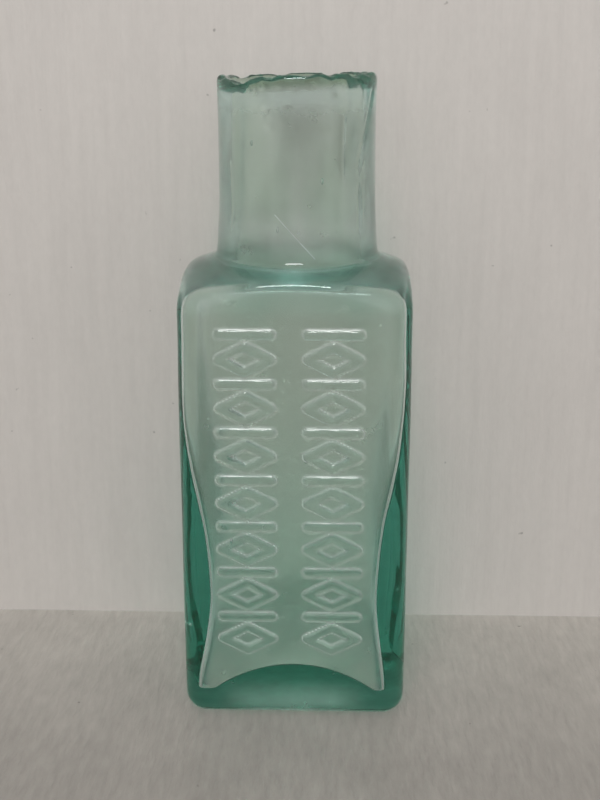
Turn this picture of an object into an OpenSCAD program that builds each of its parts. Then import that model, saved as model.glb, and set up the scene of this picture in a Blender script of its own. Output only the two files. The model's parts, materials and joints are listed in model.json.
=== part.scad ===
// A square mould-blown glass bottle with a wide neck and a sheared lip, standing on its base.
// Millimetres, +Z up, origin on the standing plane under the middle of the body, front face towards -Y.

/* [Body] */
// Width of the square body, side to side
body_width = 42.4; // [38:0.2:56]
// Depth of the body, front to back
body_depth = 42.4; // [38:0.2:56]
// Height at which the shoulder begins at the four corners of the body
wall_height = 78; // [66:1:110]
// Radius of the four upright edges
edge_radius = 4.5; // [2.5:0.1:7]
// Radius where the walls turn under to the base
foot_radius = 3.6; // [1.5:0.1:4.5]
// Rise of the domed shoulder, from the corners of the body to the root of the neck
shoulder_rise = 9.2; // [5:0.2:16]
// Radius of the edge between the walls and the shoulder, at the middle of each face
shoulder_edge = 4; // [1:0.1:4.5]

/* [Neck] */
// Outside diameter of the neck where it leaves the shoulder
neck_root_diameter = 30.3; // [28.5:0.1:33]
// Outside diameter of the neck at the lip
neck_lip_diameter = 29.4; // [27.5:0.1:32]
// Length of the neck, from its root to the highest point of the lip
neck_length = 32.8; // [16:0.2:45]
// Diameter of the bore that takes the cork
bore_diameter = 24; // [16:0.2:24.6]
// Radius of the hollow curve between shoulder and neck
root_fillet = 1.2; // [0.4:0.1:2]
// How much lower the left side of the sheared lip is than the right side
lip_slope = 0.8; // [0:0.1:3]

/* [Glass thickness] */
// Side walls just under the shoulder
side_wall = 1.4; // [1:0.1:3]
// Side walls at their thickest, low on the body
side_waist = 5.3; // [3:0.1:7]
// Front and back walls just under the shoulder
face_wall = 2.4; // [1:0.1:4]
// Front and back walls at their thickest
face_waist = 4; // [2:0.1:6]
// All four walls where they meet the floor of the hollow
foot_wall = 2.5; // [2:0.1:5]
// Height of the thickest glass above the standing plane
waist_height = 24; // [18:1:32]
// Glass under the four low corners of the hollow
floor_corner = 5.2; // [3.5:0.1:8]
// How far the middle of the floor is pushed up above its corners
floor_push_up = 11; // [4:0.5:12]
// Glass over the shoulder
shoulder_wall = 2.2; // [1.5:0.1:3.5]
// Radius of the four upright corners of the hollow
hollow_corner = 1.5; // [1:0.1:4.5]

/* [Base] */
// Diameter of the round dimple under the base
dimple_diameter = 17; // [8:0.5:26]
// Depth of that dimple
dimple_depth = 1; // [0.4:0.1:2]

/* [Raised ornament] */
// Bare glass between the standing plane and the lowest raised line
bare_below = 13.2; // [8:0.2:30]
// Bare glass between the highest raised line and the start of the shoulder
bare_above = 1.4; // [0:0.2:12]
// Width of each of the two upright ornament columns
column_width = 10.6; // [8:0.2:13]
// Distance between the centre lines of the two columns
column_spacing = 15.8; // [14:0.2:18]
// How far the pair of columns sits to the left of the middle, as the mould was cut
column_shift = 0.8; // [0:0.1:1.5]
// Number of motifs in a column, each a bar and a lozenge
motif_count = 7; // [4:1:9]
// Width of a raised line
line_width = 1.4; // [0.8:0.1:1.8]
// Height of the raised lines above the face
relief_height = 0.6; // [0.3:0.1:1]

/* [Hidden] */
glass = [0.45, 0.68, 0.6, 0.75];
// Overrun of every cut past the face that it opens, and of raised work into its wall
overrun = 1;
// Steps around a rounded corner, around a quarter turn of an edge, up a wall and down a dome
corner_steps = 8;
turn_steps = 6;
wall_steps = 16;
dome_steps = 14;
round_steps = 96;
// Reach of a dome where it starts, as a share of the reach of the corners that it trims
dome_start_share = 1.06;
// Upper and lower reach of the thick glass, as shares of the wall and waist heights
waist_above_share = 0.54;
waist_below_share = 0.8;
// Height of a lozenge, and the places of the bar and the lozenge, as shares of a motif's length
lozenge_share = 0.6;
bar_place_share = 0.4;
lozenge_place_share = -0.1;
// Chips in the sheared lip: turn about the neck as a share of a full turn, then radius and depth
// as shares of the thickness of the lip
chip_shares = [
    [0.54, 1.5, 0.4],
    [0.62, 2.4, 0.3],
    [0.79, 1.3, 0.25],
    [0.91, 2, 0.2],
    [0.18, 1.8, 0.3],
    [0.36, 2.2, 0.3]
];

body_half = [body_width, body_depth] / 2;
neck_root = wall_height + shoulder_rise;
total_height = neck_root + neck_length;
lip_glass = (neck_lip_diameter - bore_diameter) / 2;
hollow_top = neck_root - shoulder_wall;
column_length = wall_height - bare_below - bare_above;
motif_length = column_length / motif_count;
// Balls whose caps are the pushed-up floor of the hollow and the dimple under the base
function ball_radius(cap_radius, cap_height) = (pow(cap_radius, 2) + pow(cap_height, 2)) / (2 * cap_height);
floor_reach = norm(body_half - [foot_wall, foot_wall]) - hollow_corner / 2;
floor_ball = ball_radius(floor_reach, floor_push_up);
dimple_ball = ball_radius(dimple_diameter / 2, dimple_depth);

// A smooth step from 0 to 1, and a blend of two values
function ease(t) = let (u = min(max(t, 0), 1)) u * u * (3 - 2 * u);
function mix(a, b, t) = a + (b - a) * t;

// A level section at height z: a rectangle of half sizes half, with corners of radius r
function section(half, r, z) = [
    for (quarter = [0:3], i = [0:corner_steps])
        let (
            turn = 90 * (quarter + i / corner_steps),
            side = [quarter == 0 || quarter == 3 ? 1 : -1, quarter < 2 ? 1 : -1]
        )
        [side.x * (half.x - r) + r * cos(turn), side.y * (half.y - r) + r * sin(turn), z]
];
// The walls turn in by a quarter round at the foot and again under the shoulder
function inset_section(inset, z) =
    section(body_half - [inset, inset], max(edge_radius - inset, edge_radius / 4), z);
function foot_sections() = [
    for (i = [0:turn_steps])
        let (turn = 90 * i / turn_steps)
        inset_section(foot_radius * (1 - sin(turn)), foot_radius * (1 - cos(turn)))
];
function shoulder_edge_sections() = [
    for (i = [0:turn_steps])
        let (turn = 90 * i / turn_steps)
        inset_section(shoulder_edge * (1 - cos(turn)), neck_root - shoulder_edge * (1 - sin(turn)))
];

// The profile of a dome from its widest place down at height low to radius end at height high,
// wide enough to clear the corners of a section
function dome_profile(half, r, end, low, high) =
    let (start = (norm(half - [r, r]) + r) * dome_start_share)
    [for (i = [0:dome_steps]) let (t = i / dome_steps) [mix(start, end, t * t), mix(low, high, t)]];
// The hollow curve from the dome up to the neck
function fillet_profile() = [
    for (i = [1:turn_steps])
        let (turn = 90 * i / turn_steps)
        [neck_root_diameter / 2 + root_fillet * (1 - sin(turn)), neck_root - root_fillet * cos(turn)]
];

// The thickness of a wall at height z, from its values at the top and at the waist
function wall_at(top, waist, z) =
    z > waist_height
        ? mix(waist, top, ease((z - waist_height) / (wall_height * waist_above_share)))
        : mix(waist, foot_wall, ease((waist_height - z) / (waist_height * waist_below_share)));
function hollow_half(z) = body_half - [wall_at(side_wall, side_waist, z), wall_at(face_wall, face_waist, z)];
function hollow_sections() = [
    for (i = [0:wall_steps])
        let (z = mix(floor_corner, hollow_top, i / wall_steps))
        section(hollow_half(z), hollow_corner, z)
];

// A closed solid through a list of sections that have as many points each
module loft(sections) {
    count = len(sections[0]);
    last = len(sections) - 1;
    polyhedron(
        points = [for (ring = sections, point = ring) point],
        faces = [
            [for (i = [0:count - 1]) i],
            [for (i = [count - 1:-1:0]) last * count + i],
            for (k = [0:last - 1], i = [0:count - 1])
                let (a = k * count + i, b = k * count + (i + 1) % count)
                [a, a + count, b + count, b]
        ]
    );
}

// All that lies under a dome, given its profile
module under_dome(profile) {
    top = profile[len(profile) - 1];
    rotate_extrude($fn = round_steps)
        polygon(concat([[0, top.y], [0, -overrun], [profile[0].x, -overrun]], profile));
}

// The walls rise square, the dome trims them and carries the neck
module outside() {
    shoulder_end = neck_root_diameter / 2 + root_fillet;
    shoulder = dome_profile(body_half, edge_radius, shoulder_end, wall_height, neck_root - root_fillet);
    intersection() {
        loft(concat(foot_sections(), shoulder_edge_sections()));
        under_dome(concat(shoulder, fillet_profile()));
    }
    translate([0, 0, neck_root])
        cylinder(d1 = neck_root_diameter, d2 = neck_lip_diameter, h = neck_length, $fn = round_steps);
}

// The hollow has a floor that is pushed up in the middle, lowest in its four corners
module hollow() {
    half = hollow_half(wall_height);
    low = wall_height - shoulder_wall;
    difference() {
        intersection() {
            loft(hollow_sections());
            under_dome(dome_profile(half, hollow_corner, bore_diameter / 2 - overrun, low, hollow_top));
        }
        translate([0, 0, floor_corner + floor_push_up - floor_ball])
            sphere(r = floor_ball, $fn = round_steps);
    }
}

module bore() {
    translate([0, 0, hollow_top - overrun])
        cylinder(d = bore_diameter, h = neck_length + shoulder_wall + 2 * overrun, $fn = round_steps);
}

// The lip was sheared off hot and left as it broke: a slope down to the left, with shallow chips
module sheared_lip() {
    reach = 2 * neck_root_diameter;
    translate([neck_lip_diameter / 2, 0, total_height])
        rotate([0, -atan(lip_slope / neck_lip_diameter), 0])
            translate([-reach, -reach / 2, 0])
                cube([2 * reach, reach, reach]);
    for (chip = chip_shares) {
        turn = 360 * chip[0];
        lip = total_height - lip_slope * (1 - cos(turn)) / 2;
        rotate([0, 0, turn])
            translate([(neck_lip_diameter - lip_glass) / 2, 0, lip + lip_glass * (chip[1] - chip[2])])
                sphere(r = lip_glass * chip[1], $fn = round_steps);
    }
}

module dimple() {
    translate([0, 0, dimple_depth - dimple_ball])
        sphere(r = dimple_ball, $fn = round_steps);
}

// The ornament, drawn flat: in each motif the outline of a lozenge with a bar above it
module rhombus(size) {
    polygon([[size.x, 0], [0, size.y], [-size.x, 0], [0, -size.y]] / 2);
}
module lozenge(size) {
    inset = line_width * norm(size) / size.x / size.y * size;
    difference() {
        rhombus(size);
        rhombus(size - 2 * inset);
    }
}
module ornament_column() {
    for (k = [0:motif_count - 1]) {
        translate([0, (k + 1 / 2) * motif_length]) {
            translate([0, bar_place_share * motif_length])
                square([column_width, line_width], center = true);
            translate([0, lozenge_place_share * motif_length])
                lozenge([column_width, lozenge_share * motif_length]);
        }
    }
}
module ornament() {
    for (side = [-1, 1])
        translate([side * column_spacing / 2 - column_shift, overrun - body_depth / 2, bare_below])
            rotate([90, 0, 0])
                linear_extrude(overrun + relief_height)
                    ornament_column();
}

module glass_bottle() {
    color(glass)
        difference() {
            union() {
                outside();
                ornament();
            }
            hollow();
            bore();
            sheared_lip();
            dimple();
        }
}

glass_bottle();
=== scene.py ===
# %% [markdown]
# # A small square bottle of aqua glass
#
# The real bottle is one piece of glass. The blower blew a bubble of molten glass into a square
# mould with a pattern cut in one wall, and sheared the neck off the iron while it was hot. The
# lesson starts the same way: two round skins are spun like bubbles, blown out to the mould and
# joined at the lip. Then come the waves in the glass, the sheared lip, the raised work, the seeds
# and the finish. It could be boxed out from a cube instead, but glass shows its inside as well as
# its outside, and a spun skin gives both an even grid that bends light smoothly.

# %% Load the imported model, which gives the sizes and the place of the bottle
import json
import math

import bpy
import numpy as np
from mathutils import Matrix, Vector, noise


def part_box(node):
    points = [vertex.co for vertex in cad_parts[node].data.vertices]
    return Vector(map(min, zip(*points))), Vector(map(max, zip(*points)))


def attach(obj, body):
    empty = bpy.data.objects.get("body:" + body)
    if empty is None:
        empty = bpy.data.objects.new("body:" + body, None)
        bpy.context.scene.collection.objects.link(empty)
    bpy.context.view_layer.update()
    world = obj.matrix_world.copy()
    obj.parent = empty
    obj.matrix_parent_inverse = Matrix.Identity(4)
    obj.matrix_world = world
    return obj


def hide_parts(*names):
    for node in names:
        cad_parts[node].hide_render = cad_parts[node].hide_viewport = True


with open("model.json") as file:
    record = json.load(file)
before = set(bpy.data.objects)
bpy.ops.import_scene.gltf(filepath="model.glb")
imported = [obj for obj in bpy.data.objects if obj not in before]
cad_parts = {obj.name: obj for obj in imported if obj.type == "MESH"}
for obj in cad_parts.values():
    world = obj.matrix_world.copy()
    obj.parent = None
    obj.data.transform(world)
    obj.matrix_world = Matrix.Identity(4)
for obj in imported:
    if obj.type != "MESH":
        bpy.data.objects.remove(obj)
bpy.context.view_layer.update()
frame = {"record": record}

low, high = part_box("glass_bottle")
print("bottle from", tuple(round(v, 4) for v in low), "to", tuple(round(v, 4) for v in high))

# %% [markdown]
# ## The photographer's place
#
# The camera comes first, because every later choice is judged through it. The bottle seems to have
# been photographed by hand from about 22 cm, so its upright lines draw together a little towards
# the foot. A lens of 53 mm on a 36 mm sensor, tilted 16 degrees down, gives the same outline.

# %% Put the camera in its place
MM = 0.001
camera_distance = 223.4 * MM
camera_height = 121.8 * MM
camera_tilt = math.radians(16.01)
camera_turn = math.radians(1.6)

camera = bpy.data.objects.new("camera", bpy.data.cameras.new("camera"))
bpy.context.scene.collection.objects.link(camera)
camera.location = (
    camera_distance * math.sin(camera_turn),
    -camera_distance * math.cos(camera_turn),
    camera_height,
)
camera.rotation_euler = (math.pi / 2 - camera_tilt, 0, camera_turn)
camera.data.sensor_width = 36
camera.data.lens = 53.1
camera.data.shift_x = 0.0036
camera.data.clip_start = 10 * MM
bpy.context.scene.camera = camera
bpy.context.scene.view_settings.view_transform = "Standard"
print("camera at", tuple(round(v, 4) for v in camera.location))

# %% [markdown]
# ## The sizes of the bottle
#
# The overall sizes are read from the frame, so the visual piece can't drift away from the solid
# that it stands for. The rest are the sizes that a mould maker would give: where the shoulder
# starts and how round the edges are.

# %% Read and name the sizes
body_half = high.x
total_height = high.z
relief_height = -low.y - high.y
mouth = next(m for m in frame["record"]["mounts"] if m["name"] == "mouth")
bore_radius = mouth["dims"]["r_mm"] * MM

wall_height = 78 * MM
neck_root = 87.8 * MM
edge_radius = 4.5 * MM
foot_radius = 3.6 * MM
shoulder_edge = 4 * MM
root_fillet = 1.2 * MM
neck_root_radius = 15.15 * MM
neck_lip_radius = 14.7 * MM
dimple_radius = 8.5 * MM
dimple_depth = 1 * MM
print("half width", round(body_half / MM, 2), "height", round(total_height / MM, 2), "mm")

# %% [markdown]
# ## A bubble to blow
#
# A glassblower starts with a round bubble. In Blender a round skin is a profile that is spun about
# an axis: the profile is drawn point by point with Extrude, and Spin turns it through a full
# circle. That leaves a seam and a pole of doubled points, so these are merged at once.

# %% A helper that draws a profile and spins it
columns = 240
merge_reach = 0.001 * MM


def set_mode(name):
    """Changes between Object and Edit Mode."""
    bpy.ops.object.mode_set(mode=name)


def spin_profile(name, points):
    """A round skin from a list of (radius, height), drawn by extruding one vertex."""
    bpy.ops.object.select_all(action="DESELECT")
    bpy.ops.mesh.primitive_plane_add(size=MM, location=(0, 0, 0))
    piece = bpy.context.object
    piece.name = piece.data.name = name
    set_mode("EDIT")
    bpy.ops.mesh.select_all(action="SELECT")
    bpy.ops.mesh.merge(type="CENTER")
    bpy.ops.transform.translate(value=(points[0][0], 0, points[0][1]))
    for (r0, z0), (r1, z1) in zip(points, points[1:]):
        bpy.ops.mesh.extrude_region_move(TRANSFORM_OT_translate={"value": (r1 - r0, 0, z1 - z0)})
    bpy.ops.mesh.select_all(action="SELECT")
    bpy.ops.mesh.spin(steps=columns, angle=2 * math.pi, center=(0, 0, 0), axis=(0, 0, 1))
    bpy.ops.mesh.select_all(action="SELECT")
    bpy.ops.mesh.remove_doubles(threshold=merge_reach)
    set_mode("OBJECT")
    print(name, len(piece.data.vertices), "points,", len(piece.data.polygons), "faces")
    return piece


# %% Helpers that read and move a mesh
def read_rows(items, name, width=1):
    """One property of all vertices, faces or marks of a mesh, as an array."""
    flat = np.empty(len(items) * width)
    items.foreach_get(name, flat)
    return flat.reshape(-1, width) if width > 1 else flat


def read_points(piece):
    """The vertices of a mesh as rows of x, y and z."""
    return read_rows(piece.data.vertices, "co", 3)


def write_points(piece, points):
    """Moves the vertices of a mesh to the rows of an array."""
    piece.data.vertices.foreach_set("co", points.ravel())
    piece.data.update()


# %% [markdown]
# ## The shape of the mould
#
# Seen from above, the mould is a square with rounded corners. In each direction it reaches a
# certain distance, and the bubble is blown out to just that. Under the shoulder the square meets a
# dome, and a soft minimum of the two leaves the small round edge that hot glass keeps where a mould
# turns.

# %% How far the mould reaches in each direction
corner_crowding = 0.45
shoulder_softness = 22
dome_start_share = 1.06
dome_power = 2
dome_skirt = 8 * MM
skirt_growth = 1 * MM
least_share = 1e-9


def square_reach(turn, half_x, half_y, corner):
    """The distance from the middle to a rectangle with rounded corners."""
    across = np.maximum(np.abs(np.cos(turn)), least_share)
    along = np.maximum(np.abs(np.sin(turn)), least_share)
    flat = np.minimum(half_x / across, half_y / along)
    middle_x = half_x - corner
    middle_y = half_y - corner
    towards = middle_x * across + middle_y * along
    arc = towards + np.sqrt(np.maximum(towards**2 - middle_x**2 - middle_y**2 + corner**2, 0))
    rounded = (flat * across > middle_x) & (flat * along > middle_y)
    return np.where(rounded, arc, flat)


def soft_least(a, b, softness):
    """The lesser of two reaches, with a soft edge where they cross."""
    return (a**-softness + b**-softness) ** (-1 / softness)


def ease(t):
    """A smooth step from 0 to 1."""
    t = np.clip(t, 0, 1)
    return t * t * (3 - 2 * t)


def dome_reach(z, start, end, bottom, top, power):
    """The radius of a dome at height z. Below its foot it grows a little wider still."""
    t = np.clip((z - bottom) / (top - bottom), 0, 1)
    under = np.maximum(bottom - z, 0) / dome_skirt
    return start + (end - start) * t**power + under**2 * skirt_growth


# %% How wide the neck is at each height
neck_waist_radius = 14.55 * MM
root_flare = 0.75 * MM
root_flare_length = 5 * MM
lip_flare = 0.15 * MM
lip_flare_power = 6
lip_round = 0.9 * MM
lip_round_height = 1.5 * MM


def quarter_round(along, radius):
    """How far a rounded edge has drawn back, from 0 at its start to its radius at its end."""
    share = np.clip(along / radius, 0, 1)
    return radius * (1 - np.sqrt(1 - share**2))


def neck_reach(z):
    """The neck flares at its root, by less at its lip, and has a rounded rim."""
    up = np.maximum(z - neck_root, 0)
    share = up / (total_height - neck_root)
    flare = root_flare * np.exp(-up / root_flare_length) + lip_flare * share**lip_flare_power
    rounded = quarter_round(z - total_height + lip_round_height, lip_round_height)
    return neck_waist_radius + flare - rounded * lip_round / lip_round_height


# %% The outside of the bottle at each height and direction
def outside_reach(turn, z):
    """The distance from the axis to the outside of the bottle."""
    inset = quarter_round(foot_radius - z, foot_radius)
    inset = inset + quarter_round(z - neck_root + shoulder_edge, shoulder_edge)
    corner = np.maximum(edge_radius - inset, edge_radius / 4)
    square = square_reach(turn, body_half - inset, body_half - inset, corner)
    corner_reach = math.hypot(body_half - edge_radius, body_half - edge_radius) + edge_radius
    dome_end = neck_root_radius + root_fillet
    dome_top = neck_root - root_fillet
    dome_start = corner_reach * dome_start_share
    dome = dome_reach(z, dome_start, dome_end, wall_height, dome_top, dome_power)
    fillet = quarter_round(neck_root - z, root_fillet)
    round_part = np.where(z > dome_top, neck_reach(z) + fillet, dome)
    return soft_least(square, round_part, shoulder_softness)


# %% [markdown]
# ## The outside skin
#
# The rings are placed where the glass will bend most: close together around the foot, over the
# shoulder, at the root of the neck and at the lip, and wider apart up the plain walls.

# %% Draw the profile of the outside skin, ring by ring
dimple_rings = 7
base_rings = 8
foot_rings = 9
wall_rings = 77
shoulder_rings = 34
root_rings = 5
neck_rings = 18
lip_zone = 12 * MM
lip_zone_rings = 24
rim_rings = 7


def steps(start, end, count):
    """Evenly spaced values after start, up to and with end."""
    return [start + (end - start) * (i + 1) / count for i in range(count)]


def rings_up(radius, start, end, rings):
    """Rings of one radius from one height to another."""
    return [(radius, z) for z in steps(start, end, rings)]


flat_radius = body_half - foot_radius
dimple_ball = (dimple_radius**2 + dimple_depth**2) / (2 * dimple_depth)
profile = [(0, dimple_depth)]
for r in steps(0, dimple_radius, dimple_rings):
    profile.append((r, dimple_depth - dimple_ball + math.sqrt(dimple_ball**2 - r**2)))
profile += [(r, 0) for r in steps(dimple_radius, flat_radius, base_rings)]
for turn in steps(0, math.pi / 2, foot_rings):
    r = flat_radius + foot_radius * math.sin(turn)
    profile.append((r, foot_radius * (1 - math.cos(turn))))
profile += rings_up(body_half, foot_radius, wall_height, wall_rings)
for z in steps(wall_height, neck_root - root_fillet, shoulder_rings):
    profile.append((body_half - (z - wall_height) / 2, z))
for turn in steps(0, math.pi / 2, root_rings):
    z = neck_root - root_fillet * math.cos(turn)
    profile.append((neck_root_radius + root_fillet, z))
lip_start = total_height - lip_zone
rim_start = total_height - lip_round_height
profile += rings_up(neck_root_radius, neck_root, lip_start, neck_rings)
profile += rings_up(neck_root_radius, lip_start, rim_start, lip_zone_rings)
for turn in steps(0, math.pi / 2, rim_rings):
    z = total_height - lip_round_height * (1 - math.sin(turn))
    profile.append((neck_lip_radius, z))
outside = spin_profile("glass_bottle_blown", profile)

# %% Blow it out to the mould
level = 1e-7
dimple_margin = 1.01
dimple_top = 2 * MM


def directions(points):
    """The direction of each point, crowded towards the corners, and its radius."""
    turn = np.arctan2(points[:, 1], points[:, 0])
    return turn + corner_crowding * np.sin(4 * turn) / 4, np.hypot(points[:, 0], points[:, 1])


points = read_points(outside)
turn, radius = directions(points)
z = points[:, 2]
reach = outside_reach(turn, np.maximum(z, 0))
squareness = ease((radius - dimple_radius) / (flat_radius - dimple_radius))
base_reach = outside_reach(turn, np.zeros(len(z))) * radius / flat_radius
in_dimple = (radius < dimple_radius * dimple_margin) & (z < dimple_top)
under = (z < level) | in_dimple
reach = np.where(under, radius * (1 - squareness) + base_reach * squareness, reach)
points = np.column_stack([reach * np.cos(turn), reach * np.sin(turn), z])
write_points(outside, points)
print("outside reaches", round(reach.max() / MM, 2), "mm at the corners")

# %% [markdown]
# ## The inside skin
#
# The hollow is what gives old glass its look. Hot glass runs down while the bubble is blown, so the
# walls are thin under the shoulder and thick near the foot, and the hollow draws in like a waist
# and then runs out again to four pointed corners around a floor that is pushed up in the middle. It
# is blown the same way, to a mould of its own that changes with height.

# %% How thick the glass is
side_wall_left = 1.3 * MM
side_wall_right = 1.6 * MM
side_waist_left = 5.1 * MM
side_waist_right = 5.5 * MM
face_wall = 2.4 * MM
face_waist = 4 * MM
foot_wall = 2.5 * MM
foot_wall_left = 3 * MM
foot_wall_right = 4 * MM
waist_height = 24 * MM
waist_above = 0.54 * wall_height
waist_below = 0.8 * waist_height
shoulder_wall = 2.2 * MM
roof_start = wall_height - shoulder_wall
floor_corner = 5.2 * MM
floor_push_up = 11 * MM
hollow_softness = 18
hollow_corner = 1 * MM
hollow_top = 84.2 * MM
roof_power = 4
bore_root = 2 * MM
bore_lip_flare = 1.4 * MM
bore_lip_length = 3 * MM
bore_lip_power = 1.5
rim_drop = 0.15 * MM
bore_end = total_height - rim_drop


def wall_at(z, top, waist, foot):
    """The thickness of a wall at height z, from its values at top, waist and foot."""
    above = waist + (top - waist) * ease((z - waist_height) / waist_above)
    below = waist + (foot - waist) * ease((waist_height - z) / waist_below)
    return np.where(z > waist_height, above, below)


def side_thickness(across, z):
    """The side walls: the right one is a little thicker than the left one."""
    right = ease((across + 1) / 2)
    left_wall = wall_at(z, side_wall_left, side_waist_left, foot_wall_left)
    right_wall = wall_at(z, side_wall_right, side_waist_right, foot_wall_right)
    return left_wall + right * (right_wall - left_wall)


heights = np.array([roof_start, waist_height, floor_corner])
print("left wall at roof, waist and floor:", (side_thickness(-1, heights) / MM).round(1), "mm")

# %% How far the hollow reaches in each direction
def inside_reach(turn, z):
    """The distance from the axis to the wall of the hollow."""
    half_x = body_half - side_thickness(np.cos(turn), z)
    half_y = body_half - wall_at(z, face_wall, face_waist, foot_wall)
    square = square_reach(turn, half_x, half_y, hollow_corner)
    top_x = body_half - side_wall_left
    top_y = body_half - face_wall
    corner_reach = math.hypot(top_x - hollow_corner, top_y - hollow_corner) + hollow_corner
    start = corner_reach * dome_start_share
    roof = dome_reach(z, start, bore_radius + bore_root, roof_start, hollow_top, roof_power)
    bore = bore_radius + quarter_round(hollow_top + bore_root - z, bore_root)
    lip_share = np.clip((z - bore_end) / bore_lip_length + 1, 0, 1)
    bore = bore + bore_lip_flare * lip_share**bore_lip_power
    return soft_least(square, np.where(z > hollow_top, bore, roof), hollow_softness)


# %% How high the floor of the hollow is
floor_reach = math.hypot(body_half - foot_wall, body_half - foot_wall) - edge_radius / 2
floor_ball = (floor_reach**2 + floor_push_up**2) / (2 * floor_push_up)


def floor_height(radius):
    """The floor is the cap of a ball through the four low corners of the hollow."""
    drop = floor_ball - np.sqrt(np.maximum(floor_ball**2 - radius**2, 0))
    return np.maximum(floor_corner + floor_push_up - drop, floor_corner)


# %% Draw the profile of the inside skin, with close rings at the edge of the floor
floor_rings = 20
hollow_rings = 55
roof_rings = 30
roof_crowding = 1.6
bore_root_rings = 6
bore_rings = 24
bore_lip_rings = 9
corner_ring = 0.25 * MM
floor_span = body_half - foot_wall
profile = [(0, 0)]
profile += [(r, 0) for r in steps(0, floor_span - corner_ring, floor_rings)]
profile.append((floor_span, 0))
wall_start = floor_corner + corner_ring
profile.append((floor_span, wall_start))
profile += rings_up(floor_span, wall_start, roof_start, hollow_rings)
for share in steps(0, 1, roof_rings):
    z = roof_start + (hollow_top - roof_start) * share ** (roof_crowding / roof_power)
    profile.append((floor_span, z))
for turn in steps(0, math.pi / 2, bore_root_rings):
    profile.append((bore_radius, hollow_top + bore_root * (1 - math.cos(turn))))
bore_lip_start = bore_end - bore_lip_length
profile += rings_up(bore_radius, hollow_top + bore_root, bore_lip_start, bore_rings)
profile += rings_up(bore_radius, bore_lip_start, bore_end, bore_lip_rings)
inside = spin_profile("glass_bottle_hollow", profile)

# %% Blow it out inside the mould, and push up the floor
floor_blend = 20 * MM
floor_passes = 6

points = read_points(inside)
turn, radius = directions(points)
z = points[:, 2]
edge_z = np.full(len(z), floor_corner)
for _ in range(floor_passes):
    edge_z = floor_height(inside_reach(turn, edge_z))
lift = (edge_z - floor_corner) * (1 - ease((z - floor_corner) / floor_blend))
wall_z = z + lift
floor_radius = inside_reach(turn, edge_z) * radius / floor_span
on_floor = z < floor_corner / 2
reach = np.where(on_floor, floor_radius, inside_reach(turn, wall_z))
new_z = np.where(on_floor, floor_height(floor_radius), wall_z)
write_points(inside, np.column_stack([reach * np.cos(turn), reach * np.sin(turn), new_z]))
print("floor from", round(edge_z.min() / MM, 2), "to", round(new_z[on_floor].max() / MM, 2), "mm")

# %% [markdown]
# ## Clean and cloudy glass
#
# Inside, the old bottle is cloudy: a thin milky film on the front and back walls, more of it in the
# neck, and none beside the sharp corners of the hollow, where dark green lines show that light runs
# along clean glass. Outside it is polished, but for a dull neck and a base and foot that are worn
# from standing. Painted shade gives the edge of the shoulder a deeper green in the middle of each
# side, and darkens the rim of the lip and the film under the roof of the hollow. A painted mask
# would do. Here each point gets marks from its place instead: how thick the film is, how much of
# each colour it lets through, and whether it is inside.

# %% Decide how cloudy the inside is
face_cloud = 0.62
roof_cloud = 0.4
neck_cloud = 1
corner_clear = 0.3 * MM
corner_fade = 1.5 * MM
roof_film_start = 2 * MM
roof_film_fade = 3 * MM
neck_film_radius = 17 * MM
neck_film_fade = 3 * MM
lip_clear = 10 * MM

points = read_points(inside)
x, y, z = points.T
half_x = body_half - side_thickness(np.sign(x), z)
to_corner = ease((np.abs(x) - half_x + corner_clear + corner_fade) / corner_fade)
under_roof = ease((z - roof_start - roof_film_start) / roof_film_fade)
near_bore = ease((neck_film_radius - np.hypot(x, y)) / neck_film_fade)
near_lip = ease((z - total_height + lip_clear) / lip_clear)
upper_cloud = np.maximum(neck_cloud * near_bore, roof_cloud) * (1 - near_lip)
cloud = face_cloud * (1 - to_corner) * (1 - under_roof) + upper_cloud * under_roof
print("the film inside reaches", round(cloud.max(), 2))

# %% The film: grey with grime in the neck, brown stains high up, painted shade under the roof
low_stain = np.array([0.97, 0.84, 0.74])
high_stain = np.array([0.76, 0.66, 0.57])
# Painted shade: a darker green-grey film under the roof of the hollow darkens the shoulder
roof_painted_shade = np.array([0.75, 0.78, 0.7])
neck_stain = np.array([0.94, 0.94, 0.84])
neck_grime = np.array([0.4, 0.4, 0.35])
stain_start = 32 * MM
stain_fade = 30 * MM
roof_shade_fade = 2.5 * MM
darker_middle_half = 7 * MM
darker_middle = 0.85
grime_patches = 0.75
grime_patch_size = 8 * MM
grime_stretch = 3


def noise_at(points, size, stretch=1.0):
    """Smooth noise from -1 to 1 with lumps of one size, drawn out along Z by stretch."""
    scaled = points / size / np.array([1, 1, stretch])
    return np.array([noise.noise(Vector(p)) for p in scaled])


def blend(a, b, share):
    """A colour between a and b for each point."""
    return a + (b - a) * share[:, None]


# The neck film is darker along the middle of its front and back, and in random patches of grime
grime = darker_middle * np.exp(-((x / darker_middle_half) ** 2))
grime = grime + grime_patches * noise_at(points, grime_patch_size, grime_stretch)
grimy_neck = blend(neck_stain, neck_grime, ease(grime))
# Under the roof the film takes the painted shade; above the hollow it turns into the neck film
neck_film_and_roof_shade = blend(roof_painted_shade, grimy_neck, ease((z - hollow_top) / roof_shade_fade))
face_film = blend(low_stain, high_stain, ease((z - stain_start) / stain_fade))
film = blend(face_film, neck_film_and_roof_shade, under_roof)
tint = 1 - (1 - film) * cloud[:, None]
print("the film lets through from", tint.min(axis=0).round(2), "to", tint.max(axis=0).round(2))

# %% Decide how dull the outside of the neck is
outer_neck_cloud = 0.28
outer_neck_fade = 6 * MM
outer_root_cloud = 0.3
outer_root_height = 4 * MM
outer_root_reach = 3 * MM
dull_streaks = 0.9
dull_streak_size = 3 * MM
dull_streak_stretch = 5

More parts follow.
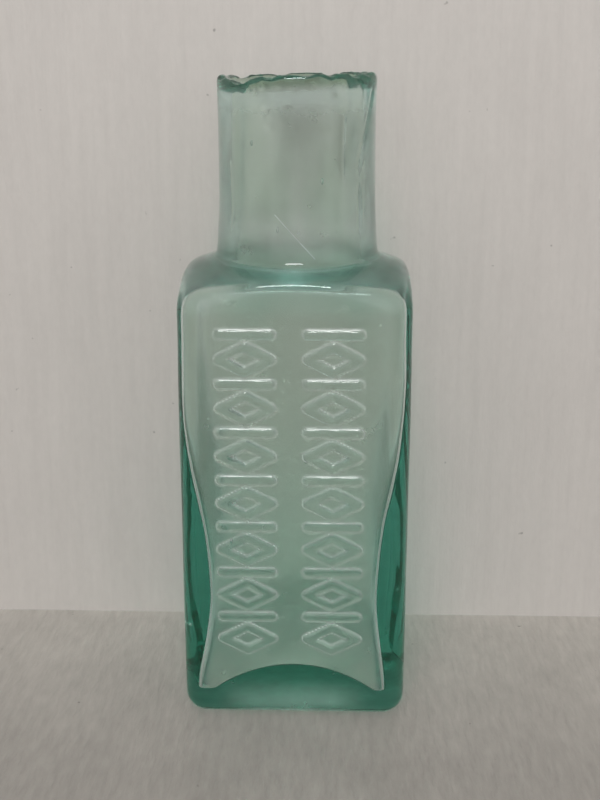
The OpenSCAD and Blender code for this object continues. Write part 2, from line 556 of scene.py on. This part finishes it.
points = read_points(outside)
x, y, z = points.T
above_root = ease((z - neck_root) / outer_neck_fade)
below_lip = 1 - ease((z - total_height + lip_clear) / lip_clear)
streaks = 1 + dull_streaks * noise_at(points, dull_streak_size, dull_streak_stretch)
on_root = np.exp(-(((z - neck_root - outer_root_height) / outer_root_reach) ** 2))
neck_wear = outer_neck_cloud * streaks * above_root * below_lip + outer_root_cloud * on_root
print("the neck is dulled by up to", round(neck_wear.max(), 2))

# %% Decide how worn the base and the foot are
base_wear = 1.8
dimple_wear = 0.6
base_edge_share = 0.4
base_top = 0.6 * MM
dimple_fade = 4 * MM
foot_scuff = 1.7
foot_scuff_top = 2.4 * MM
foot_scuff_fade = 1.6 * MM
foot_haze = 0.62
foot_haze_top = 8.5 * MM
foot_haze_fade = 5 * MM
middle_half = 7 * MM
base_middle_fade = 9 * MM
foot_middle_fade = 8 * MM

base_middle = 1 - ease((np.abs(x) - middle_half) / base_middle_fade)
off_dimple = ease((np.hypot(x, y) - dimple_radius) / dimple_fade)
base_mark = dimple_wear + (base_wear - dimple_wear) * off_dimple
on_base = (z < base_top) * base_mark * (base_edge_share + (1 - base_edge_share) * base_middle)

off_middle = np.minimum(np.abs(x), np.abs(y))
foot_middle = 1 - ease((off_middle - middle_half) / foot_middle_fade)
scuff = foot_scuff * ease((foot_scuff_top - z) / foot_scuff_fade)
haze = foot_haze * ease((foot_haze_top - z) / foot_haze_fade)
on_foot = np.maximum(scuff, haze) * foot_middle
outer_cloud = neck_wear + np.maximum(on_base, on_foot)
print("the foot is worn up to", round(outer_cloud.max(), 2))

# %% Decide where the outside is a deeper green: the worn foot, and painted shade on the shoulder
scuff_tint = np.array([0.74, 0.96, 0.88])
scuff_tint_gain = 3
# Painted shade: the edge of the shoulder is a deeper green in the middle of each side
painted_shoulder_shade = np.array([0.2, 0.34, 0.29])
painted_shoulder_shade_half = 12 * MM
shoulder_shade_low = 3.2 * MM
shoulder_shade_low_fade = 0.8 * MM
shoulder_shade_high = 2.1 * MM
shoulder_shade_high_fade = 0.9 * MM

below = z - neck_root
shoulder_shade_mask = ease((below + shoulder_shade_low) / shoulder_shade_low_fade)
shoulder_shade_mask = shoulder_shade_mask * (1 - ease((below + shoulder_shade_high) / shoulder_shade_high_fade))
shoulder_shade_mask = shoulder_shade_mask * np.exp(-((off_middle / painted_shoulder_shade_half) ** 2))
outer_tint = blend(np.ones(3), scuff_tint, np.clip(scuff_tint_gain * on_foot, 0, 1))
outer_tint = outer_tint * blend(np.ones(3), painted_shoulder_shade, shoulder_shade_mask)
print("the deepest green lets through", outer_tint.min(axis=0).round(2))

# %% Write the marks on both skins, with painted shade at the rim: a deeper green
painted_rim_shade = np.array([0.6, 0.68, 0.58])
painted_rim_shade_height = 2.6 * MM
painted_rim_shade_fade = 1.4 * MM

for piece, mark, colour in ((outside, outer_cloud, outer_tint), (inside, cloud, tint)):
    # Painted shade: the rim of the lip is darkened to a deeper green
    at_rim = ease((read_points(piece)[:, 2] - total_height + painted_rim_shade_height) / painted_rim_shade_fade)
    colour = colour * blend(np.ones(3), painted_rim_shade, at_rim)
    tinted = np.column_stack([colour, np.ones(len(mark))]).ravel()
    is_inside = np.full(len(mark), float(piece is inside))
    attributes = piece.data.attributes
    attributes.new("cloudy", "FLOAT", "POINT").data.foreach_set("value", mark)
    attributes.new("tint", "FLOAT_COLOR", "POINT").data.foreach_set("color", tinted)
    attributes.new("inside", "FLOAT", "POINT").data.foreach_set("value", is_inside)
    print(piece.name, "has marks at", len(mark), "points")

# %% [markdown]
# ## One closed piece
#
# The two skins are joined into one mesh and the gap between their rims is closed with Bridge Edge
# Loops. Light then enters and leaves real glass, with a real thickness everywhere, which is what
# makes the edges dark. The inner rim lies a hair lower than the outer one, because the bridge can
# twist between two rims in one plane.

# %% Join the skins and bridge the lip
def select_only(*pieces):
    """Deselects everything, then selects the pieces and makes the first one active."""
    bpy.ops.object.select_all(action="DESELECT")
    for piece in pieces:
        piece.select_set(True)
    bpy.context.view_layer.objects.active = pieces[0]


select_only(outside, inside)
bpy.ops.object.join()
bottle = outside

set_mode("EDIT")
bpy.ops.mesh.select_mode(type="EDGE")
bpy.ops.mesh.select_all(action="DESELECT")
bpy.ops.mesh.select_non_manifold(extend=False, use_wire=False, use_boundary=True)
bpy.ops.mesh.bridge_edge_loops(number_cuts=2, interpolation="LINEAR")
bpy.ops.mesh.select_all(action="SELECT")
bpy.ops.mesh.normals_make_consistent(inside=False)
set_mode("OBJECT")
print("closed bottle:", len(bottle.data.vertices), "points,", len(bottle.data.polygons), "faces")

# %% [markdown]
# ## Uneven glass
#
# Hand-blown glass is never flat. The mould was iron, so the outside is nearly true, but the inside
# took no mould and is wavy, and inside the neck the blower's iron drew it out in long upright
# streaks. A Displace modifier would do, but here each region needs waves of its own size, so every
# point is moved along its normal by noise in code.

# %% Move each point by a little noise; each wave has a height and a size
outside_wave = (0.05 * MM, 11 * MM)
inside_wave = (0.16 * MM, 9 * MM)
inside_offset = 50 * MM
ripple = (0.018 * MM, 2.6 * MM)
neck_streak = (0.17 * MM, 3 * MM)
streak_stretch = 7
streak_start = 5 * MM
streak_outside = 0.3
wave_free = 1.5 * MM
wave_fade = 6 * MM


def read_mark(piece, name):
    """The value of a mark at each vertex."""
    return read_rows(piece.data.attributes[name].data, "value")


points = read_points(bottle)
normals = read_rows(bottle.data.vertices, "normal", 3)
is_inside = (read_mark(bottle, "inside") > 0.5).astype(float)
in_neck = ease((points[:, 2] - neck_root) / streak_start)
streaked = in_neck * (streak_outside + (1 - streak_outside) * is_inside)
amount = outside_wave[0] * noise_at(points, outside_wave[1]) * (1 - is_inside)
amount += inside_wave[0] * noise_at(points + inside_offset, inside_wave[1]) * is_inside
amount += ripple[0] * noise_at(points, ripple[1])
amount += neck_streak[0] * noise_at(points, neck_streak[1], streak_stretch) * streaked
stands_clear = np.maximum(is_inside, ease((points[:, 2] - wave_free) / wave_fade))
write_points(bottle, points + normals * (amount * stands_clear)[:, None])
print("the glass wanders by up to", round(np.abs(amount).max() / MM, 2), "mm")

# %% [markdown]
# ## The sheared lip
#
# The blower cut the neck from the iron with shears and left the edge as it was: lower on the left,
# grainy, and with small shell-shaped chips. A clean ring would look machine-made and would lead
# lamp light straight down the neck wall, so the edge is lowered by a given curve, scooped out
# with balls, and roughened.

# %% The cut of the shears, as (degrees around the neck, drop in mm), and its chips
lip_height = 9 * MM
shear_curve = [
    (0, 0), (45, 0.1), (90, 0.35), (130, 0.6), (165, 0.75),
    (180, 0.45), (196, 0.55), (210, 1.15), (226, 1.3), (240, 0.85),
    (262, 0.45), (285, 0.35), (300, 0.15), (322, 0.3), (340, 0.05),
]
# Each chip is (degrees around the neck, radius of its ball in mm, depth in mm)
chips = [
    (198, 3.2, 0.9), (226, 5, 0.8), (251, 2.2, 0.6), (262, 1.6, 0.45),
    (278, 2.6, 0.5), (296, 2, 0.6), (318, 3.4, 0.7), (333, 1.8, 0.6),
    (14, 2.4, 0.7), (62, 4.2, 0.9), (104, 2.8, 0.7), (141, 3.6, 0.8),
]
print(len(chips), "chips in the lip")

# %% Lower the rim and scoop out the chips
rough_height = 1.8 * MM
rough_fade = 1.2 * MM


def around_neck(points):
    """The direction of each point in degrees, and as a level step outwards."""
    bearing = np.degrees(np.arctan2(points[:, 1], points[:, 0])) % 360
    return bearing, np.column_stack([np.cos(np.radians(bearing)), np.sin(np.radians(bearing))])


def shear_drop(bearing):
    """How far the shears lowered the rim at a direction."""
    at, drops = np.array(shear_curve).T
    return np.interp(bearing, at, drops * MM, period=360)


points = read_points(bottle)
x, y, z = points.T
bearing, outward = around_neck(points)
rim_share = ease((z - total_height + lip_height) / lip_height)
drop = shear_drop(bearing)
z -= drop * rim_share**2
at_rim = ease((z + drop - total_height + rough_height) / rough_fade)
for place, size, depth in chips:
    size *= MM
    turn = math.radians(place)
    ball_x, ball_y = neck_lip_radius * math.cos(turn), neck_lip_radius * math.sin(turn)
    ball_z = total_height - shear_drop(place) + size - depth * MM
    away = np.hypot(x - ball_x, y - ball_y)
    scoop = ball_z - np.sqrt(np.maximum(size**2 - away**2, 0))
    scooped = (away < size) & (z > scoop) & (z > total_height - lip_height)
    z[scooped] = scoop[scooped]
print("the shears took off up to", round(drop.max() / MM, 2), "mm")

# %% Roughen the rim with lumps and a fine grain
grain = (0.1 * MM, 0.9 * MM)
lump = (0.16 * MM, 2.6 * MM)
outward_lump = 0.6 * lump[0]
outward_offset = 9 * MM

rough_edge = lump[0] * noise_at(points, lump[1]) + grain[0] * noise_at(points, grain[1])
z += rough_edge * at_rim
sideways = outward_lump * noise_at(points + outward_offset, lump[1]) * at_rim
points[:, :2] += outward * sideways[:, None]
z[:] = np.minimum(z, total_height)
write_points(bottle, points)
print("the rim reaches", round(z.max() / MM, 2), "mm")

# %% [markdown]
# ## Creases and bruises
#
# Where the shears gripped the neck, the cooling skin folded: a few steep creases run down it, and
# small bruises lie under the rim. Each crease is a line on the unrolled neck, and points near it
# are drawn in by a rounded groove. A bruise is the same with a point instead of a line.

# %% Where the creases and bruises are
# A crease is a path of (degrees around the neck, height), its half width and its depth, in mm
creases = [
    ([(339, 116.5), (333, 112.5), (327, 108.5), (320, 103.5)], 0.8, 0.34),
    ([(305.6, 112.5), (304.6, 107), (305.4, 101)], 0.8, 0.2),
    ([(320.7, 99.8), (321.4, 96), (320.8, 92.5)], 0.8, 0.22),
    ([(214, 104), (217, 98), (216, 93)], 1.1, 0.16),
]
# A bruise is (degrees around the neck, height, half width, depth), in mm
bruises = [
    (241, 116.9, 1, 0.3), (248, 117.7, 1.1, 0.42), (260, 117.8, 1, 0.4),
    (270, 117.3, 0.9, 0.3), (281, 117.9, 1.1, 0.42), (300, 117, 1.6, 0.3),
    (265, 114.6, 0.9, 0.4), (247, 112.6, 0.8, 0.3), (250, 113.9, 0.8, 0.32),
    (254, 112.4, 0.8, 0.28), (256, 114, 0.8, 0.3), (259, 112.6, 0.8, 0.3),
    (263, 111.6, 0.8, 0.26), (252, 110.9, 0.8, 0.24), (292, 109.8, 1.6, 0.14),
    (289, 98.4, 1.3, 0.12),
]
print(len(creases), "creases and", len(bruises), "bruises")

# %% Press them into the neck
crease_start = 2 * MM
far_away = 1.0


def groove(away, half_width):
    """A rounded groove: 1 in its middle and 0 from half_width on."""
    return 1 - ease(away / half_width)


def line_distance(x, z, start, end):
    """The distance from points x, z to the line from start to end."""
    dx = end[0] - start[0]
    dz = end[1] - start[1]
    t = np.clip(((x - start[0]) * dx + (z - start[1]) * dz) / (dx * dx + dz * dz), 0, 1)
    return np.hypot(x - start[0] - t * dx, z - start[1] - t * dz)


points = read_points(bottle)
z = points[:, 2]
outer_neck = (read_mark(bottle, "inside") < 0.5) & (z > neck_root + crease_start)
bearing, outward = around_neck(points)
across = np.radians(bearing) * neck_waist_radius
depth_in = np.zeros(len(points))
for path_points, half_width, depth in creases:
    nearest = np.full(len(points), far_away)
    places = [(math.radians(b) * neck_waist_radius, h * MM) for b, h in path_points]
    for start, end in zip(places, places[1:]):
        nearest = np.minimum(nearest, line_distance(across, z, start, end))
    depth_in += depth * MM * groove(nearest, half_width * MM)
for place, height, half_width, depth in bruises:
    away = np.hypot(across - math.radians(place) * neck_waist_radius, z - height * MM)
    depth_in += depth * MM * groove(away, half_width * MM)
points[:, :2] -= outward * (depth_in * outer_neck)[:, None]
write_points(bottle, points)
print("pressed in by up to", round(float((depth_in * outer_neck).max()) / MM, 2), "mm")

# %% [markdown]
# ## Raised work
#
# The mould had a pattern cut into its front wall, and the glass flowed into it. It could be made of
# separate bars, but then light would meet hidden faces inside the glass. So the front face gets a
# finer grid where the pattern lies, and each point is pushed out by its distance from the nearest
# line.

# %% Lay out the pattern: a lozenge with a bar above it, seven times in each column
bare_below = 13.2 * MM
bare_above = 1.4 * MM
column_width = 10.6 * MM
column_spacing = 15.8 * MM
column_shift = 0.8 * MM
motif_count = 7
motif_length = (wall_height - bare_below - bare_above) / motif_count
line_width = 1.4 * MM
lozenge_height = 0.6 * motif_length
bar_place = 0.4 * motif_length
lozenge_place = -0.1 * motif_length

reach_x = (column_width - line_width) / 2
reach_z = lozenge_height / 2 * reach_x / (column_width / 2)
tip_sides = [(1, 0), (0, 1), (-1, 0), (0, -1)]
strokes = []
for side in (-1, 1):
    column_x = side * column_spacing / 2 - column_shift
    for k in range(motif_count):
        middle = bare_below + (k + 0.5) * motif_length
        bar_z = middle + bar_place
        strokes.append(((column_x - reach_x, bar_z), (column_x + reach_x, bar_z)))
        lozenge_z = middle + lozenge_place
        tips = [(column_x + a * reach_x, lozenge_z + b * reach_z) for a, b in tip_sides]
        strokes += [(tips[i - 1], tips[i]) for i in range(4)]


def stroke_distance(x, z):
    """The distance from points on the front face to the nearest line of the pattern."""
    nearest = np.full(len(x), far_away)
    for start, end in strokes:
        nearest = np.minimum(nearest, line_distance(x, z, start, end))
    return nearest


print(len(strokes), "lines in the pattern")

# %% Refine the front face around the pattern
stroke_reach = 1.1 * MM
stroke_margin = 0.75 * MM
front_margin = 0.3 * MM

centres = read_rows(bottle.data.polygons, "center", 3)
near = stroke_distance(centres[:, 0], centres[:, 2]) < stroke_reach + stroke_margin
near &= centres[:, 1] < -body_half + front_margin

set_mode("EDIT")
bpy.ops.mesh.select_mode(type="FACE")
bpy.ops.mesh.select_all(action="DESELECT")
set_mode("OBJECT")
bottle.data.polygons.foreach_set("select", near)
set_mode("EDIT")
bpy.ops.mesh.subdivide(number_cuts=2)
set_mode("OBJECT")
print(int(near.sum()), "faces refined,", len(bottle.data.polygons), "faces now")

# %% Push the pattern out
flank = 0.7 * MM
worn_share = 0.25
wear_scale = 2.2 * MM

points = read_points(bottle)
on_front = points[:, 1] < -body_half + front_margin
front = points[on_front]
distance = stroke_distance(front[:, 0], front[:, 2])
wear = np.array([noise.noise(Vector((x, 0, z)) / wear_scale) for x, y, z in front])
rise = ease((stroke_reach - distance) / flank) * relief_height * (1 - worn_share * (0.5 + wear))
front[:, 1] -= rise
points[on_front] = front
write_points(bottle, points)
print("the pattern stands out by up to", round(rise.max() / MM, 2), "mm")

# %% Paint a thin whitish line beside the strokes, as painted reflection from their flanks
sheen_place = 0.95 * MM
sheen_width = 0.25 * MM
# Painted reflection: a whitish film at the foot of each flank
flank_sheen = 0.8
cloudy = read_mark(bottle, "cloudy")
painted_flank_sheen = flank_sheen * np.exp(-(((distance - sheen_place) / sheen_width) ** 2))
cloudy[on_front] = np.maximum(cloudy[on_front], painted_flank_sheen)
bottle.data.attributes["cloudy"].data.foreach_set("value", cloudy)
print("dirt beside the lines at", int((painted_flank_sheen > flank_sheen / 2).sum()), "points")

# %% [markdown]
# ## Seeds
#
# Old glass holds seeds, the small bubbles of gas that the furnace didn't drive out, drawn out
# upright where the glass was pulled. A bubble is a hollow on a small scale: a closed skin whose
# normals point into it. Each is a sphere, stretched, turned inside out and joined to the bottle.

# %% Put seeds into the glass, as (x, y, z and radius in mm, stretch)
seeds = [
    (-18.6, -9, 31, 0.3, 1.8), (-18.9, 2, 23.5, 0.36, 1.5),
    (-18.4, -14, 17, 0.26, 1.6), (18.6, -12, 28, 0.32, 1.8),
    (18.8, -4, 36, 0.24, 2), (18.2, 6, 19, 0.34, 1.4),
    (-5, -11, 8.6, 0.34, 1.2), (7.5, -14.5, 7.2, 0.28, 1.2),
    (1.5, -6, 11.4, 0.3, 1.2), (-12, -15.5, 5.4, 0.3, 1.2),
    (11.6, -12.6, 85.2, 0.26, 1.1), (-3, -13, 93, 0.22, 2.6),
    (4.6, -12.5, 101.5, 0.24, 2.4), (-7.4, -11.1, 108, 0.22, 2.2),
    (2.2, -19.9, 52, 0.26, 1.8), (-11.5, -19.6, 36, 0.28, 1.8),
]
bottle_points = len(bottle.data.vertices)
bubbles = []
for x, y, z, radius, stretch in seeds:
    bpy.ops.object.select_all(action="DESELECT")
    bpy.ops.mesh.primitive_uv_sphere_add(
        segments=14, ring_count=8, radius=radius * MM, location=(x * MM, y * MM, z * MM)
    )
    bubble = bpy.context.object
    bubble.scale.z = stretch
    bpy.ops.object.transform_apply(location=True, rotation=True, scale=True)
    set_mode("EDIT")
    bpy.ops.mesh.select_all(action="SELECT")
    bpy.ops.mesh.flip_normals()
    set_mode("OBJECT")
    bubbles.append(bubble)
select_only(bottle, *bubbles)
bpy.ops.object.join()
tint_mark = bottle.data.attributes["tint"].data
tints = read_rows(tint_mark, "color", 4)
tints[bottle_points:] = 1
tint_mark.foreach_set("color", tints.ravel())
triangles = sum(len(face.vertices) - 2 for face in bottle.data.polygons)
print(len(seeds), "seeds,", triangles, "triangles in the bottle")

# %% [markdown]
# ## The finish of glass
#
# A small bottle of smooth glass is shaded smooth all over: no edge of it is sharp. Its colour is in
# the glass, not on its surface, so thick parts are dark green and thin walls are nearly clear. The
# shader for that is an absorbing volume inside a clear surface. The green comes from iron in the
# sand: it takes most of the red, a third as much green and a little more blue.

# %% Shade the bottle smooth
select_only(bottle)
bpy.ops.object.shade_smooth()
print(bottle.name, "is shaded smooth")

# %% Helpers that make shader nodes
noise_roughness = 0.62
noise_low, noise_high = 0.3, 0.7


def add_node(tree, kind, **values):
    """A new node with constants on its sockets."""
    node = tree.nodes.new(kind)
    for name, value in values.items():
        node.inputs[name].default_value = value
    return node


def math_value(tree, operation, *values):
    """A Math node whose inputs are numbers or the outputs of other nodes."""
    node = tree.nodes.new("ShaderNodeMath")
    node.operation = operation
    for socket, value in zip(node.inputs, values):
        if isinstance(value, (int, float)):
            socket.default_value = value
        else:
            tree.links.new(value, socket)
    return node.outputs["Value"]


def ranged(tree, value, start, end, low, high, clamp=True):
    """A Map Range node from start..end to low..high."""
    limits = {"From Min": start, "From Max": end, "To Min": low, "To Max": high}
    node = add_node(tree, "ShaderNodeMapRange", **limits)
    node.clamp = clamp
    tree.links.new(value, node.inputs["Value"])
    return node.outputs["Result"]


def noise_value(tree, place, size, detail, stretch=(1, 1, 1)):
    """A Noise Texture with lumps of about one size, drawn out by stretch."""
    mapping = add_node(tree, "ShaderNodeMapping", Scale=stretch)
    tree.links.new(place, mapping.inputs["Vector"])
    lumps = {"Scale": 1 / size, "Detail": detail, "Roughness": noise_roughness}
    node = add_node(tree, "ShaderNodeTexNoise", **lumps)
    tree.links.new(mapping.outputs["Vector"], node.inputs["Vector"])
    return node.outputs["Fac"]


def along(tree, place, direction):
    """How far each point lies along a direction, in metres."""
    node = tree.nodes.new("ShaderNodeVectorMath")
    node.operation = "DOT_PRODUCT"
    node.inputs[1].default_value = direction
    tree.links.new(place, node.inputs[0])
    return node.outputs["Value"]


# %% A clear surface around absorbing glass
glass_colour = (0.06, 0.69, 0.595, 1)
glass_density = 57

glass = bpy.data.materials.new("aqua_glass")
glass.use_nodes = True
tree = glass.node_tree
tree.nodes.clear()
output = tree.nodes.new("ShaderNodeOutputMaterial")
shader = add_node(tree, "ShaderNodeBsdfPrincipled", IOR=1.5)
absorb = add_node(
    tree, "ShaderNodeVolumeAbsorption", Color=glass_colour, Density=glass_density
)
tree.links.new(absorb.outputs["Volume"], output.inputs["Volume"])
taken = glass_density * 10 * MM * (1 - np.array(glass_colour[:3]))
print("10 mm of the glass lets through", np.exp(-taken).round(2))

# %% [markdown]
# ## Film and scratch
#
# The film scatters light. It raises the roughness and swaps a part of the clear surface for a dull
# white one, in the tint that was worked out above, and noise makes it patchy. A hair-thin scratch
# runs down the front of the neck. It is finer than the mesh, so the shader draws it, as the points
# that lie near a line.

# %% Film: patches of noise on the mark
patch_size = 6 * MM
patch_detail = 6
patch_thin = 0.72
patch_thick = 1.28

skin = tree.nodes.new("ShaderNodeAttribute")
skin.attribute_name = "cloudy"
place = tree.nodes.new("ShaderNodeTexCoord").outputs["Object"]
patches = noise_value(tree, place, patch_size, patch_detail)
patchy = ranged(tree, patches, noise_low, noise_high, patch_thin, patch_thick)
film_here = math_value(tree, "MULTIPLY", skin.outputs["Fac"], patchy)

# %% The scratch: near a line, within its length and on the front of the neck
scratch_start = Vector((-3.6 * MM, 0, 95.8 * MM))
scratch_end = Vector((3.6 * MM, 0, 88 * MM))
scratch_width = 0.2 * MM
neck_front = -13.2 * MM

way = (scratch_end - scratch_start).normalized()
side_way = Vector((way.z, 0, -way.x))
middle = (scratch_start + scratch_end) / 2
half_length = (scratch_end - scratch_start).length / 2
from_line = along(tree, place, side_way)
near_line = math_value(tree, "COMPARE", from_line, side_way.dot(middle), scratch_width / 2)
in_length = math_value(tree, "COMPARE", along(tree, place, way), way.dot(middle), half_length)
at_front = math_value(tree, "LESS_THAN", along(tree, place, (0, 1, 0)), neck_front)
on_line = math_value(tree, "MULTIPLY", near_line, in_length)
scratch = math_value(tree, "MULTIPLY", on_line, at_front)
print("a scratch of", round(half_length * 2 / MM, 1), "mm")

# %% Roughness, haze and tint from the film and the scratch; the tint holds painted shade too
clean_roughness = 0.005
film_roughness = 0.36
film_clearness = 0.76

dull = math_value(tree, "MAXIMUM", film_here, scratch)
rough = ranged(tree, dull, 0, 1, clean_roughness, film_roughness, clamp=False)
clear = ranged(tree, dull, 0, 1, 1, film_clearness, clamp=False)
tree.links.new(rough, shader.inputs["Roughness"])
tree.links.new(clear, shader.inputs["Transmission Weight"])
# The tint mark holds the colour of the film and the painted shade
film_and_shade_colour = tree.nodes.new("ShaderNodeAttribute")
film_and_shade_colour.attribute_name = "tint"
tree.links.new(film_and_shade_colour.outputs["Color"], shader.inputs["Base Color"])

# %% [markdown]
# ## Light through the bottle
#
# A renderer finds it hard to send lamp light through bent glass onto the wall behind, where a real
# bottle lets it pass. So a ray that asks whether a lamp is in sight, and starts outside the glass,
# goes straight through and is only dimmed. Rays that start inside the glass keep the true surface,
# or the neck would glow from lamps that it can't see.

# %% Let lamp light pass straight through
dimmed = (0.97, 0.96, 0.95, 1)

through = add_node(tree, "ShaderNodeBsdfTransparent", Color=dimmed)
path = tree.nodes.new("ShaderNodeLightPath")
crossings = math_value(tree, "MODULO", path.outputs["Transmission Depth"], 2)
starts_outside = math_value(tree, "LESS_THAN", crossings, 0.5)
choose = tree.nodes.new("ShaderNodeMixShader")
passes = math_value(tree, "MULTIPLY", starts_outside, path.outputs["Is Shadow Ray"])
tree.links.new(passes, choose.inputs["Fac"])
tree.links.new(shader.outputs["BSDF"], choose.inputs[1])
tree.links.new(through.outputs["BSDF"], choose.inputs[2])
tree.links.new(choose.outputs["Shader"], output.inputs["Surface"])
bottle.data.materials.clear()
bottle.data.materials.append(glass)
print(len(tree.nodes), "nodes in the glass")

# %% Hand the bottle to the frame
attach(bottle, "root")
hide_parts("glass_bottle")
print(bottle.name, "stands for glass_bottle")

# %% [markdown]
# ## The place where it was photographed
#
# The bottle stands on a painted board close to a painted wall. Both are bare planes, with faint
# brush strokes of noise that is drawn out one way and raised a little, and a few dark specks.
# Painted light makes the board brighter towards the wall. The wall is seen only from its front, so
# that the bottle can be looked at from behind too.

# %% A helper that makes a painted plane
speck_size = 3 * MM
speck_detail = 2
speck_from = 0.735
speck_to = 0.775
speck_tone = 0.62
stroke_detail = 5
# Where the painted light on the floor starts and ends, from the front towards the wall
painted_light_front_end = -40 * MM
painted_light_wall_end = 22 * MM


def painted_plane(name, size, location, upright, colour, roughness, strokes, painted_light_back):
    """A plane with specks and layers of strokes, each as (size, stretch, relief, contrast)."""
    bpy.ops.object.select_all(action="DESELECT")
    tilt = math.pi / 2 if upright else 0
    bpy.ops.mesh.primitive_plane_add(size=1, location=location, rotation=(tilt, 0, 0))
    plane = bpy.context.object
    plane.name = name
    plane.scale = (size[0], size[1], 1)
    bpy.ops.object.transform_apply(location=True, rotation=True, scale=True)
    paint = bpy.data.materials.new(name)
    paint.use_nodes = True
    tree = paint.node_tree
    coat = tree.nodes["Principled BSDF"]
    coat.inputs["Roughness"].default_value = roughness
    place = tree.nodes.new("ShaderNodeTexCoord").outputs["Object"]
    specks = noise_value(tree, place, speck_size, speck_detail)
    tone = ranged(tree, specks, speck_from, speck_to, 1, speck_tone)
    # Painted light: the tone grows brighter towards the wall by the given factor
    depth_in = along(tree, place, (0, 1, 0))
    painted_light_scale = ranged(tree, depth_in, painted_light_front_end, painted_light_wall_end, 1, painted_light_back)
    tone = math_value(tree, "MULTIPLY", tone, painted_light_scale)
    normal = None
    for stroke_size, stretch, relief, contrast in strokes:
        brush = noise_value(tree, place, stroke_size, stroke_detail, stretch)
        uneven = ranged(tree, brush, noise_low, noise_high, 1 - contrast, 1 + contrast)
        tone = math_value(tree, "MULTIPLY", tone, uneven)
        bump = add_node(tree, "ShaderNodeBump", Distance=relief)
        tree.links.new(brush, bump.inputs["Height"])
        if normal is not None:
            tree.links.new(normal, bump.inputs["Normal"])
        normal = bump.outputs["Normal"]
    tree.links.new(normal, coat.inputs["Normal"])
    scaled = tree.nodes.new("ShaderNodeVectorMath")
    scaled.operation = "SCALE"
    scaled.inputs[0].default_value = colour
    tree.links.new(tone, scaled.inputs["Scale"])
    tree.links.new(scaled.outputs["Vector"], coat.inputs["Base Color"])
    if upright:
        geometry = tree.nodes.new("ShaderNodeNewGeometry")
        clear = tree.nodes.new("ShaderNodeBsdfTransparent")
        mix = tree.nodes.new("ShaderNodeMixShader")
        tree.links.new(geometry.outputs["Backfacing"], mix.inputs["Fac"])
        tree.links.new(coat.outputs["BSDF"], mix.inputs[1])
        tree.links.new(clear.outputs["BSDF"], mix.inputs[2])
        output = tree.nodes["Material Output"]
        tree.links.new(mix.outputs["Shader"], output.inputs["Surface"])
    plane.data.materials.append(paint)
    print(name, "is painted", colour)


# %% The floor and the wall
stage_width = 3
wall_rise = 1.5
wall_place = 23.8 * MM
floor_gap = 0.1 * MM

painted_plane(
    name="floor",
    size=(stage_width, stage_width),
    location=(0, 0, -floor_gap),
    upright=False,
    colour=(0.325, 0.305, 0.28),
    roughness=0.38,
    strokes=[(1.4 * MM, (1, 0.2, 1), 0.3 * MM, 0.1), (22 * MM, (1, 1, 1), 0.2 * MM, 0.07)],
    # Painted light: the floor is brighter towards the wall
    painted_light_back=1.45,
)
painted_plane(
    name="wall",
    size=(stage_width, wall_rise),
    location=(0, wall_place, wall_rise / 2),
    upright=True,
    colour=(0.62, 0.585, 0.555),
    roughness=0.6,
    strokes=[
        (2.4 * MM, (1, 1, 0.07), 0.1 * MM, 0.03),
        (1.1 * MM, (1, 1, 0.5), 0.05 * MM, 0.02),
        (33 * MM, (1, 1, 1), 0.2 * MM, 0.02),
    ],
    painted_light_back=1,
)

# %% [markdown]
# ## The light of the room
#
# The photo looks taken indoors by daylight: a window high in front gives the thin white lines on
# the raised bars and on the edge of the shoulder, and the pale room gives the rest. Light in thick
# glass is thrown back and forth many times, above all along the sides, so it is allowed many more
# bounces than usual. With few of them the dark green lines there would turn black.

# %% Let light be thrown back and forth many times
light_bounces = 120
clear_layers = 24

cycles = bpy.context.scene.cycles
cycles.max_bounces = light_bounces
cycles.transmission_bounces = light_bounces
cycles.glossy_bounces = light_bounces
cycles.transparent_max_bounces = clear_layers
print("up to", cycles.max_bounces, "bounces")

# %% The pale room around the bottle
room_colour = (1, 0.985, 0.965, 1)
room_strength = 0.54

world = bpy.data.worlds.new("room")
world.use_nodes = True
background = world.node_tree.nodes["Background"]
background.inputs["Color"].default_value = room_colour
background.inputs["Strength"].default_value = room_strength
bpy.context.scene.world = world
print("the room has a strength of", room_strength)

# %% The window and the bright side of the room, as flat lamps turned to the bottle
lamp_target = Vector((0, 0, 60 * MM))


def soft_lamp(name, size, place, radiance):
    """A flat lamp of a size (wide, high) in metres, given by its brightness."""
    lamp = bpy.data.lights.new(name, "AREA")
    lamp.shape = "RECTANGLE"
    lamp.size, lamp.size_y = size
    lamp.energy = radiance * math.pi * size[0] * size[1]
    lamp_object = bpy.data.objects.new(name, lamp)
    bpy.context.scene.collection.objects.link(lamp_object)
    lamp_object.location = place
    to_bottle = lamp_target - Vector(place)
    lamp_object.rotation_euler = to_bottle.to_track_quat("-Z", "Y").to_euler()
    print(name, "gives", round(lamp.energy, 2), "W")


soft_lamp(name="window", size=(0.22, 0.18), place=(-0.028, -0.42, 0.6), radiance=15)
soft_lamp(name="room", size=(2, 1.2), place=(0.15, -0.95, 0.3), radiance=0.42)
